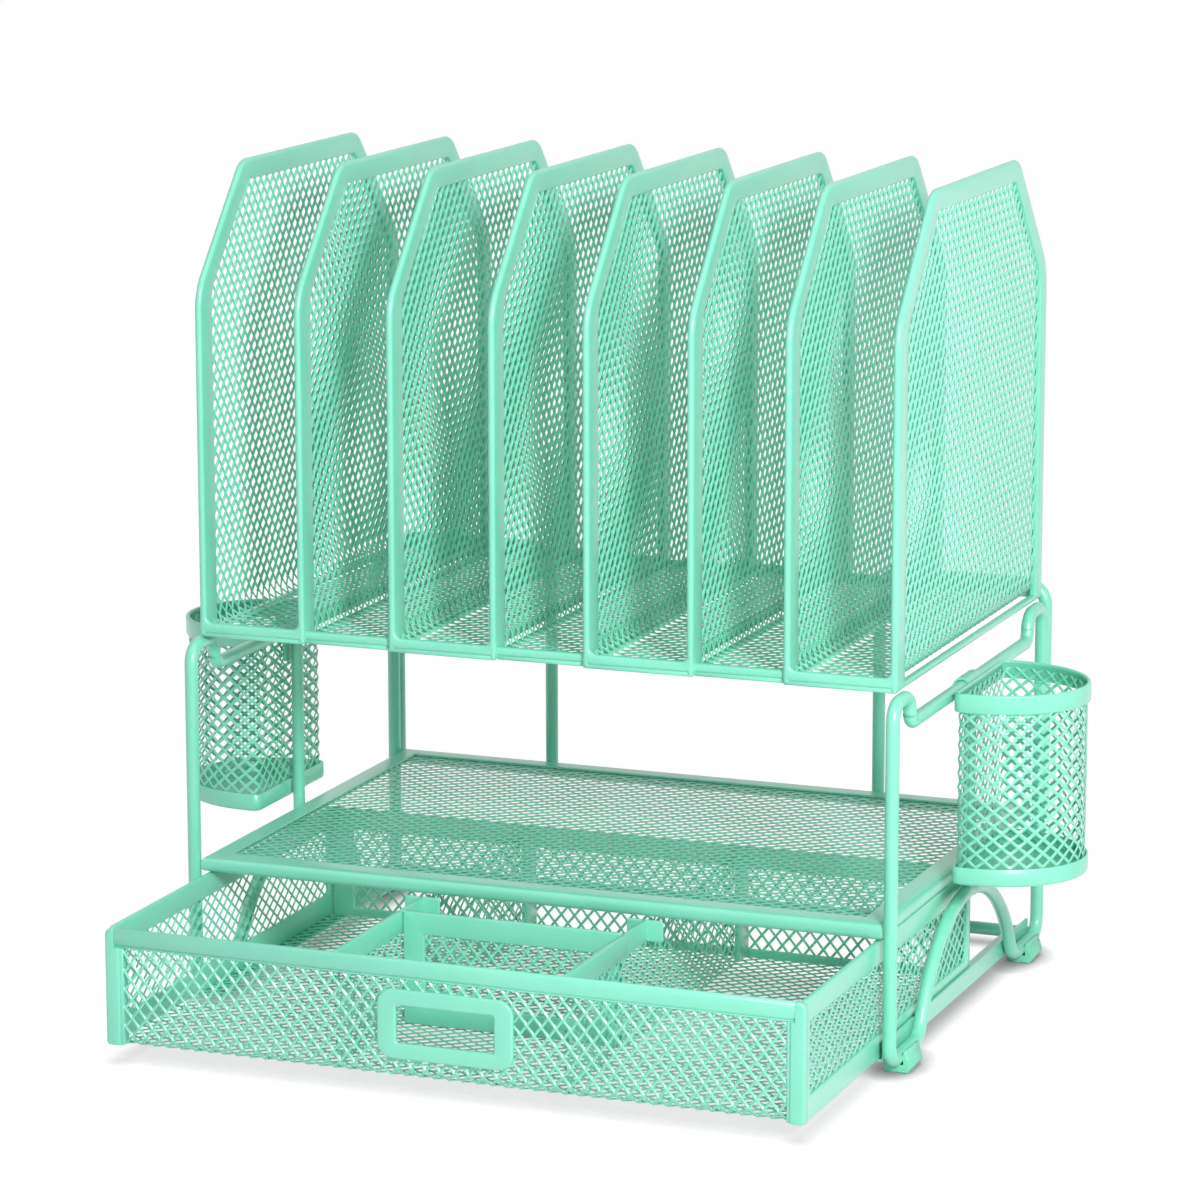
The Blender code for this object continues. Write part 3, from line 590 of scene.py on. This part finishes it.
for name in [f"tray_floor_{k}" for k in range(1, 5)] + [f"link_floor_{k}" for k in range(1, 4)]:
    low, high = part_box(name)
    v = {key: value * mm for key, value in floorValues.items()}
    tray = name.startswith("tray")
    centre = (low.x + high.x) / 2
    if tray:
        number = int(name[-1]) * 2
        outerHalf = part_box(f"divider_{number}")[1].x - centre
        sheetHalf = outerHalf - (outerHalf - high.x + centre) / 2
    else:
        outerHalf = high.x - centre + 0.8 * mm
        sheetHalf = outerHalf + 0.4 * mm
    top = high.z + (v["lipRise"] if tray else 0)
    shape = Shape()
    half = v["lip"] / 2
    for start, way in ((low.y, 1), (high.y, -1)):
        levels = []
        for k in range(9):
            angle = quarter * 0.88 * (1 - k / 4)
            inset, depth = half * (1 - math.cos(angle)), half - half * math.sin(angle)
            y = start + way * depth
            if tray:
                outline = lipOutline(2 * (outerHalf - 0.1 * mm), low.z + v["band"], top, 3.0 * mm, inset)
            else:
                outline = boxCorners((-outerHalf, low.z + v["band"] + inset), (outerHalf, top - inset))
            levels.append([(centre + u, y, z) for u, z in outline])
        shape.loft(levels)
        # darker band under the roll
        y0, y1 = sorted((start + way * v["setback"], start + way * (v["lip"] - v["setback"])))
        section = roundBox((y0, low.z), (y1, low.z + v["band"] + 0.7 * mm), 0.7 * mm, 4)
        shape.bar(section, onFace("x", (0, 0, 0)), centre - outerHalf + 0.3 * mm, centre + outerHalf - 0.3 * mm, 0.3 * mm)

    # a tray's sheet bends up into its dividers; a link floor has a short edge turned up beside them
    bend, turnUp = (sheetValues["bend"] * mm, 0) if tray else (v["turnBend"], v["turnUp"])
    level = low.z + sheetValues["level"] * mm
    flat = sheetHalf - bend

    def alongFloor(u, v, w):
        # past the flat part the sheet turns up towards the divider
        past = abs(u) - flat
        if past <= 0:
            return (centre + u, v, level + w)
        angle = min(past / bend, quarter)
        reach = flat + (bend - w) * math.sin(angle)
        rise = bend - (bend - w) * math.cos(angle) + max(past - bend * quarter, 0)
        return (centre + math.copysign(reach, u), v, level + rise)

    wide = flat + bend * quarter + turnUp
    shape.net(boxCorners((-wide, low.y + half), (wide, high.y - half)), floorMesh, alongFloor,
              origin=(0, (low.y + high.y) / 2))
    finishPiece(name + "_panel", shape, "stand", sheetPaint, name)
print("sorter floors done")


# Drawer front: rounded rail, corner posts, mesh that turns under, and the pull

frontValues = {"rollRise": 2.6, "rollDepth": 1.75, "bellyRise": 8.0, "bellyDepth": 4.0, "crease": 0.9,
               "creaseIn": 0.3, "postWidth": 6.8, "postUpper": 4.4, "postCorner": 3.3, "postRound": 1.4,
               "flange": 1.5, "flangeLap": 0.4, "flangeBack": 2.4, "wrap": 3.6, "wrapReturn": 2.0}
frontMesh = {"cell": (6.55, 8.2), "open": 0.75, "thick": 0.8, "lean": 0.25}

low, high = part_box("drawer_front_rim")
frontY = low.y
shape = Shape()
v = {key: value * mm for key, value in frontValues.items()}
# a roll along the top, a belly that falls back below it, and a crease above the lower edge
rollZ = high.z - v["rollRise"]
section = [(high.y, low.z), (high.y, rollZ)]
for k in range(1, 12):
    angle = 2 * quarter * k / 12
    if angle < quarter:
        section.append((high.y - v["rollDepth"] * (1 - math.cos(angle)), rollZ + v["rollRise"] * math.sin(angle)))
    else:
        section.append((low.y + v["rollDepth"] * (1 + math.cos(angle)), rollZ + v["rollRise"] * math.sin(angle)))
for k in range(7):
    drop = (rollZ - low.z - v["crease"]) * k / 6
    back = v["bellyDepth"] * (1 - math.sqrt(1 - (drop / v["bellyRise"]) ** 2))
    section.append((low.y + back, rollZ - drop))
section += [(low.y + back + v["creaseIn"], rollZ - drop - 0.15 * mm), (low.y + back, rollZ - drop - 0.3 * mm),
            (low.y + back + 0.1 * mm, low.z)]
railEnd = high.x - v["postUpper"]
shape.bar(section, onFace("x", (0, 0, 0)), -railEnd, railEnd, 0.3 * mm)
finishPiece("drawer_front_rail", shape, "drawer", sheetPaint, "drawer_front_rim")
railLow, railHigh = low, high


def postOutline(inset):
    # seen from the front: wide below the rail, its outer half running up past the rail's end
    outer, split, inner = railHigh.x - inset, railHigh.x - v["postUpper"], railHigh.x - v["postWidth"] + inset / 2
    foot, shoulder, top = railLow.z - postRise + inset / 2, railLow.z, railHigh.z - inset
    corners = [(inner, foot), (outer, foot), (outer, top), (split, top), (split, shoulder), (inner, shoulder)]
    return rounded(corners, [0.8 * mm, 1.5 * mm, v["postCorner"] - inset, 0.3 * mm, 0.1 * mm, 0.3 * mm], 6)


for word, sign in sides:
    low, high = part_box(f"drawer_{word}_post")
    postRise = railLow.z - low.z
    shape = Shape()
    levels = []
    for k in range(6):
        angle = quarter * k / 5
        inset, depth = v["postRound"] * (1 - math.sin(angle)), v["postRound"] * (1 - math.cos(angle))
        levels.append([(sign * x, low.y + depth, z) for x, z in postOutline(inset)])
    levels.append([(sign * x, high.y - 0.3 * mm, z) for x, z in postOutline(0)])
    levels.append([(sign * x, high.y, z) for x, z in postOutline(0.3 * mm)])
    shape.loft(levels)
    # the post's inner edge turns back beside the mesh
    near = railHigh.x - v["postWidth"]
    across = sorted((sign * (near - v["flange"]), sign * (near + v["flangeLap"])))
    section = roundBox((across[0], low.y + 0.9 * mm), (across[1], high.y + v["flangeBack"]), 0.4 * mm, 4)
    shape.bar(section, onFace("z", (0, 0, 0)), low.z + 0.3 * mm, railLow.z - 0.1 * mm, 0.3 * mm)
    finishPiece(f"drawer_{word}_corner", shape, "drawer", sheetPaint, f"drawer_{word}_post")

low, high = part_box("drawer_front_mesh")
pullLow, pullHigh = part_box("drawer_handle")
half = frontMesh["thick"] * mm / 2
wrap = frontValues["wrap"] * mm
meshY = low.y + half
straight = high.z - low.z - wrap
bendLength = (wrap - half) * quarter


def alongFront(u, v, w):
    # v is the way up the sheet, from the end of its return
    total = frontValues["wrapReturn"] * mm
    if v < total:
        return (u, meshY - half + wrap + total - v, low.z + half - w)
    if v < total + bendLength:
        angle = quarter * (v - total) / bendLength
        radius = wrap - half + w
        return (u, meshY - half + wrap - radius * math.sin(angle), low.z + wrap - radius * math.cos(angle))
    return (u, meshY - w, low.z + wrap + v - total - bendLength)


shape = Shape()
reach = frontValues["wrapReturn"] * mm + bendLength + straight
upAt = low.z + wrap - frontValues["wrapReturn"] * mm - bendLength
ring = 4 * mm
shape.net(boxCorners((low.x, 0), (high.x, reach + 2 * mm)), frontMesh, alongFront,
          hole=((pullLow.x + ring, pullLow.z + ring - upAt), (pullHigh.x - ring, pullHigh.z - ring - upAt)))
finishPiece("drawer_front_net", shape, "drawer", meshPaint, "drawer_front_mesh")

pullValues = {"bend": 7.0, "holeWide": 44.6, "holeTall": 16.5, "holeBend": 1.2, "ease": 1.0}
centreX, centreZ = (pullLow.x + pullHigh.x) / 2, (pullLow.z + pullHigh.z) / 2
wide, tall = pullHigh.x - pullLow.x, pullHigh.z - pullLow.z


def pullOutline(share, inset):
    # share 0 is the outside, share 1 the finger hole
    w = (wide / 2 if share == 0 else pullValues["holeWide"] * mm / 2) - inset
    t = (tall / 2 if share == 0 else pullValues["holeTall"] * mm / 2) - inset
    bend = (pullValues["bend"] if share == 0 else pullValues["holeBend"]) * mm - inset
    return roundBox((-w, -t), (w, t), max(bend, 0.15 * mm), 8)


ease = pullValues["ease"] * mm
depth = pullHigh.y - pullLow.y
levels = []
for share, way in ((0, 1), (1, -1)):
    bends = [(ease * (1 - math.cos(a)), ease * (1 - math.sin(a))) for a in np.linspace(quarter, 0, 5)]
    near = [(pullOutline(share, way * inset), drop) for inset, drop in bends]
    far = [(outline, depth - drop) for outline, drop in near[::-1]]
    levels += (near + far) if share == 0 else (near + far)[::-1]
shape = Shape()
shape.band(levels, onFace("y", (centreX, pullLow.y, centreZ)))
finishPiece("drawer_pull", shape, "drawer", sheetPaint, "drawer_handle")
print("drawer front done")


# Drawer box

panelValues = {"band": 10.0, "foot": 10.5, "end": 5.0, "ease": 0.6, "groove": 2.2,
               "backEnd": 10.7, "backFoot": 4.0}
sideMesh = {"cell": (8.1, 6.4), "open": 0.73, "thick": 0.9, "lean": 0.12}
backMesh = {"cell": (6.6, 8.0), "open": 0.76, "thick": 0.8, "lean": 0.1}
bottomMesh = {"cell": (8.15, 6.5), "open": 0.74, "thick": 0.8, "lean": 0.1}


def framedPanel(shape, low, high, inner, place, thick, mesh, tuck=2.5 * mm, ease=0.6 * mm):
    half = thick / 2
    innerLow, innerHigh = inner
    outer = [(roundBox((low[0] + e, low[1] + e), (high[0] - e, high[1] - e), 0.8 * mm, 3), d)
             for e, d in ((ease, half), (0.3 * ease, half - 0.3 * ease), (0, half - ease),
                          (0, -half + ease), (0.3 * ease, -half + 0.3 * ease), (ease, -half))]
    hole = [(roundBox((innerLow[0] + e, innerLow[1] + e), (innerHigh[0] - e, innerHigh[1] - e), 0.8 * mm, 3), d)
            for e, d in ((-ease, -half), (-0.3 * ease, -half + 0.3 * ease), (0, -half + ease),
                         (0, half - ease), (-0.3 * ease, half - 0.3 * ease), (-ease, half))]
    shape.band(outer + hole, place)
    shape.net(boxCorners((innerLow[0] - tuck, innerLow[1] - tuck), (innerHigh[0] + tuck, innerHigh[1] + tuck)),
              mesh, place)


band, foot, end = (panelValues[key] * mm for key in ("band", "foot", "end"))
for word, sign in sides:
    low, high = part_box(f"drawer_{word}_side")
    place = onFace("x", ((low.x + high.x) / 2, 0, 0))
    shape = Shape()
    framedPanel(shape, (low.y, low.z), (high.y, high.z),
                ((low.y + end, low.z + foot), (high.y - end, high.z - band)), place, high.x - low.x, sideMesh)
    finishPiece(f"drawer_{word}_panel", shape, "drawer", sheetPaint, f"drawer_{word}_side")

low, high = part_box("drawer_back")
shape = Shape()
backEnd, backFoot = panelValues["backEnd"] * mm, panelValues["backFoot"] * mm
framedPanel(shape, (low.x, low.z), (high.x, high.z),
            ((low.x + backEnd, low.z + backFoot), (high.x - backEnd, high.z - band)),
            onFace("y", (0, (low.y + high.y) / 2, 0)), high.y - low.y, backMesh)
finishPiece("drawer_rear_panel", shape, "drawer", sheetPaint, "drawer_back")

low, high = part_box("drawer_floor")
shape = Shape()
shape.net(boxCorners((low.x, low.y), (high.x, high.y)), bottomMesh, onFace("z", (0, 0, (low.z + high.z) / 2)))
finishPiece("drawer_floor_net", shape, "drawer", meshPaint, "drawer_floor")
print("drawer box done")


# Partitions in the drawer

partitionValues = {"band": 10.0, "bandThick": 2.4, "thin": 1.8, "bandLength": 94.5, "strip": 13.0,
                   "teeWide": 16.7, "teeTall": 9.5, "teeThick": 1.6, "ease": 0.5}
partitionMesh = {"cell": (8.1, 6.4), "open": 0.73, "thick": 0.8, "lean": 0.12}
crossMesh = {"cell": (6.55, 8.2), "open": 0.775, "thick": 0.8, "lean": 0.12}
crossLow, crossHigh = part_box("drawer_cross_divider")
crossY = (crossLow.y + crossHigh.y) / 2


def plate(shape, low, high, ease=0.5 * mm):
    # a flat block with eased edges; its outline is the face across the thinnest way
    spans = [high[k] - low[k] for k in range(3)]
    thin = spans.index(min(spans))
    flat = [k for k in range(3) if k != thin]
    ease = min(ease, spans[thin] * 0.45)
    levels = []
    for depth, inset in ((0, ease), (0.3 * ease, 0.3 * ease), (ease, 0),
                         (spans[thin] - ease, 0), (spans[thin] - 0.3 * ease, 0.3 * ease), (spans[thin], ease)):
        ring = []
        for u, v in roundBox((low[flat[0]] + inset, low[flat[1]] + inset),
                             (high[flat[0]] - inset, high[flat[1]] - inset), 0.9 * mm, 3):
            point = [0, 0, 0]
            point[thin], point[flat[0]], point[flat[1]] = low[thin] + depth, u, v
            ring.append(tuple(point))
        levels.append(ring)
    shape.loft(levels)


v = {key: value * mm for key, value in partitionValues.items()}
for word, sign in sides:
    low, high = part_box(f"drawer_{word}_divider")
    x = (low.x + high.x) / 2
    hemEnd = low.y + v["bandLength"]
    shape = Shape()
    shape.net(boxCorners((low.y + 1 * mm, low.z), (high.y - 1 * mm, high.z - 1 * mm)), partitionMesh,
              onFace("x", (x, 0, 0)))
    plate(shape, (x - v["bandThick"] / 2, low.y, high.z - v["band"]), (x + v["bandThick"] / 2, crossY, high.z))
    plate(shape, (x - v["thin"] / 2, crossY - 1 * mm, high.z - v["band"]), (x + v["thin"] / 2, hemEnd, high.z))
    plate(shape, (x - v["teeWide"] / 2, hemEnd - v["teeThick"], high.z - v["teeTall"]),
          (x + v["teeWide"] / 2, hemEnd, high.z))
    plate(shape, (x - v["bandThick"] / 2, high.y - v["strip"], low.z), (x + v["bandThick"] / 2, high.y, high.z))
    finishPiece(f"drawer_{word}_partition", shape, "drawer", sheetPaint, f"drawer_{word}_divider")

shape = Shape()
framedPanel(shape, (crossLow.x, crossLow.z), (crossHigh.x, crossHigh.z),
            ((crossLow.x + 10 * mm, crossLow.z + 10 * mm), (crossHigh.x - 10 * mm, crossHigh.z - 10 * mm)),
            onFace("y", (0, crossY, 0)), crossHigh.y - crossLow.y, crossMesh)
finishPiece("drawer_cross_partition", shape, "drawer", sheetPaint, "drawer_cross_divider")
print("partitions done")


# Cups

cupValues = {"flank": 8.0, "corner": 4.0, "band": 8.3, "bandSheet": 1.0, "pan": 8.0, "panBend": 1.6, "bead": 0.9}
cupMesh = {"cell": (7.45, 6.3), "open": 0.70, "thick": 0.8, "lean": 0.0}


def cupOutline(width, depth, inset, sign, steps=28):
    half = width / 2 - inset
    corner = cupValues["corner"] * mm - inset / 2
    bulge = depth - cupValues["flank"] * mm - inset
    outline = arc((inset + corner, -half + corner), corner, math.pi, 3 * quarter, 6)
    outline += [(cupValues["flank"] * mm + bulge * a, half * b) for a, b in arc((0, 0), 1, -quarter, quarter, steps)]
    outline += arc((inset + corner, half - corner), corner, quarter, math.pi, 6)
    return [(sign * u, v) for u, v in outline]


for word, sign in sides:
    body = word + "_cup"
    low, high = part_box(word + "_cup_band")
    panLow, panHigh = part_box(word + "_cup_pan")
    width, depth = high.y - low.y, high.x - low.x
    face = high.x if sign < 0 else low.x
    middle = (low.y + high.y) / 2
    sheet, bead = cupValues["bandSheet"] * mm, cupValues["bead"] * mm
    base = panLow.z

    # band with a rolled top
    section = [(0.2 * mm, low.z), (0, low.z + 0.4 * mm), (0, high.z - bead)]
    section += [(bead - bead * math.cos(a), high.z - bead + bead * math.sin(a)) for a in np.linspace(0.3, math.pi - 0.3, 7)]
    section += [(2 * bead, high.z - bead), (sheet, high.z - 2.2 * bead), (sheet, low.z + 0.3 * mm), (sheet - 0.2 * mm, low.z)]
    shape = Shape()
    shape.loft([[(face + u, middle + y, z) for u, y in cupOutline(width, depth, inset, sign)]
                for inset, z in section], closed=True)
    finishPiece(word + "_cup_rim", shape, body, sheetPaint, word + "_cup_band")

    # wall: mesh wrapped round the plan
    half = cupMesh["thick"] * mm / 2
    line = [Vector(p) for p in cupOutline(width, depth, sheet + seat + half, sign, 60)]
    lengths = [0.0]
    for k in range(len(line)):
        lengths.append(lengths[-1] + (line[(k + 1) % len(line)] - line[k]).length)
    total = lengths[-1]
    count = round(total / (cupMesh["cell"][0] * mm))
    cell = dict(cupMesh, cell=(total / count / mm, cupMesh["cell"][1]))

    def roundWall(u, v, w):
        u = u % total
        k = min(int(np.searchsorted(lengths, u, side="right")) - 1, len(line) - 1)
        start, end = line[k], line[(k + 1) % len(line)]
        share = (u - lengths[k]) / max(lengths[k + 1] - lengths[k], 1e-9)
        point = start.lerp(end, share)
        before, after = line[k - 1], line[(k + 2) % len(line)]
        along = (end - before).normalized().lerp((after - start).normalized(), share)
        normal = Vector((along.y, -along.x)).normalized() * sign
        return (face + point.x + normal.x * w, middle + point.y + normal.y * w, v)

    shape = Shape()
    tuck = 3 * mm
    shape.net(boxCorners((0, base + tuck), (total, high.z - tuck)), cell, roundWall)
    finishPiece(word + "_cup_net", shape, body, meshPaint, word + "_cup_wall")

    # pan with a rolled lower edge
    bend = cupValues["panBend"] * mm
    section = [(3 * mm, base)]
    section += [(bend - bend * math.cos(a), base + bend - bend * math.sin(a)) for a in np.linspace(quarter, 0, 6)]
    section += [(0, panHigh.z - 0.4 * mm), (0.3 * mm, panHigh.z), (sheet - 0.3 * mm, panHigh.z), (sheet, panHigh.z - 0.3 * mm),
                (sheet, base + bend)]
    section += [(bend - (bend - sheet) * math.cos(a), base + bend - (bend - sheet) * math.sin(a)) for a in np.linspace(0, quarter, 5)]
    section += [(3 * mm, base + sheet)]
    shape = Shape()
    shape.loft([[(face + u, middle + y, z) for u, y in cupOutline(width, depth, inset, sign)]
                for inset, z in section])
    finishPiece(word + "_cup_base", shape, body, sheetPaint, word + "_cup_pan")

    # strap folded over the rail
    low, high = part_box(word + "_cup_hook")
    wireLow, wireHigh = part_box(word + "_side_frame")
    railX = (wireLow.x + wireHigh.x) / 2
    inR = wireR + seat
    outR = inR + sheet
    outer = arc((0, high.z - outR), outR, 0, math.pi, 12)
    inner = arc((0, high.z - outR), inR, math.pi, 0, 12)
    section = [(outR, low.z)] + outer + [(-outR, high.z - 10.3 * mm), (-inR, high.z - 10.3 * mm)] + inner + [(inR, low.z)]
    section = [(railX + sign * u, z) for u, z in section]
    shape = Shape()
    shape.bar(section, onFace("y", (0, 0, 0)), low.y, high.y)
    finishPiece(word + "_cup_strap", shape, body, sheetPaint, word + "_cup_hook")
print("cups done")


# Stage: pale floor, soft light, camera at the photo's angle

stageValues = {"key": 21.0, "left": 2.4, "top": 3.5, "right": 2.5, "world": 0.30, "glow": 0.95,
               "nearby": 0.010, "nearPower": 2.0, "paintedShadowGlow": 0.12}

floorMaterial = bpy.data.materials.new("stage_floor")
graph = Graph(floorMaterial)
path = graph.tree.nodes.new("ShaderNodeLightPath")
seen = Value(graph, path.outputs["Is Camera Ray"]) + Value(graph, path.outputs["Is Glossy Ray"])
plain = graph.node("ShaderNodeBsdfDiffuse", None, {"Color": (0.86, 0.87, 0.87, 1)})
shaded = graph.node("ShaderNodeBsdfDiffuse", None, {"Color": (0.15, 0.15, 0.15, 1)})
glow = graph.node("ShaderNodeEmission", None, {"Color": (1, 1, 1, 1), "Strength": stageValues["glow"]})
# painted shadow: ambient occlusion dims the floor's glow where a part nearly touches it, as under the drawer
near = graph.node("ShaderNodeAmbientOcclusion", {"samples": 8}, {"Distance": stageValues["nearby"]}, out=1)
clear = graph.node("ShaderNodeMath", {"operation": "POWER"}, {0: near, 1: stageValues["nearPower"]})
# the faint glow the floor falls to in its painted shadow
paintedShadowGlow = graph.node("ShaderNodeEmission", None, {"Color": (1, 1, 1, 1), "Strength": stageValues["paintedShadowGlow"]})
glow = graph.node("ShaderNodeMixShader", None, {0: clear, 1: paintedShadowGlow, 2: glow})
bright = graph.node("ShaderNodeAddShader", None, {0: shaded, 1: glow})
graph.node("ShaderNodeOutputMaterial", None, {"Surface": graph.node("ShaderNodeMixShader", None, {0: seen, 1: plain, 2: bright})})
stagePlane = bpy.data.meshes.new("stage_floor")
stagePlane.from_pydata([(-6, -6, -0.0002), (6, -6, -0.0002), (6, 6, -0.0002), (-6, 6, -0.0002)], [], [(0, 1, 2, 3)])
stagePlane.materials.append(floorMaterial)
floor = bpy.data.objects.new("stage_floor", stagePlane)
bpy.context.scene.collection.objects.link(floor)

world = bpy.data.worlds.new("studio")
bpy.context.scene.world = world
graph = Graph(world)
path = graph.tree.nodes.new("ShaderNodeLightPath")
direct = Value(graph, path.outputs["Is Camera Ray"]) + Value(graph, path.outputs["Is Glossy Ray"]) * 0.8
soft = graph.node("ShaderNodeBackground", None, {"Color": (0.97, 0.99, 1.0, 1), "Strength": stageValues["world"]})
white = graph.node("ShaderNodeBackground", None, {"Color": (1, 1, 1, 1), "Strength": 1.0})
graph.node("ShaderNodeOutputWorld", None, {"Surface": graph.node("ShaderNodeMixShader", None, {0: direct, 1: soft, 2: white})})


def lamp(name, azimuth, elevation, distance, size, power, colour=(1, 1, 1)):
    light = bpy.data.lights.new(name, "AREA")
    light.energy = power
    light.size = size
    light.color = colour
    holder = bpy.data.objects.new(name, light)
    a, e = math.radians(azimuth), math.radians(elevation)
    way = Vector((math.sin(a) * math.cos(e), -math.cos(a) * math.cos(e), math.sin(e)))
    holder.location = Vector((0, 0, 0.18)) + way * distance
    holder.rotation_euler = way.to_track_quat("Z", "Y").to_euler()
    bpy.context.scene.collection.objects.link(holder)


lamp("key_light", 40, 24, 1.6, 0.35, stageValues["key"], (1.0, 0.99, 0.975))
lamp("left_light", -48, 42, 1.8, 0.9, stageValues["left"])
lamp("top_light", 10, 78, 1.7, 0.9, stageValues["top"])
lamp("right_light", 80, 20, 1.7, 0.9, stageValues["right"])

camera = bpy.data.cameras.new("camera")
camera.lens = 145.461
camera.sensor_width = 36
camera.clip_start = 0.05
camera.clip_end = 50
holder = bpy.data.objects.new("camera", camera)
right, up, back = Vector((0.93133, 0.36418, -0.00121)), Vector((-0.07253, 0.18874, 0.97935)), Vector((0.35689, -0.91200, 0.20219))
turn = Matrix((right, up, back)).transposed().to_4x4()
turn.translation = Vector((0.7719, -1.95825, 0.6184))
holder.matrix_world = turn
bpy.context.scene.collection.objects.link(holder)
bpy.context.scene.camera = holder
bpy.context.scene.view_settings.view_transform = "Standard"

print("stage done")
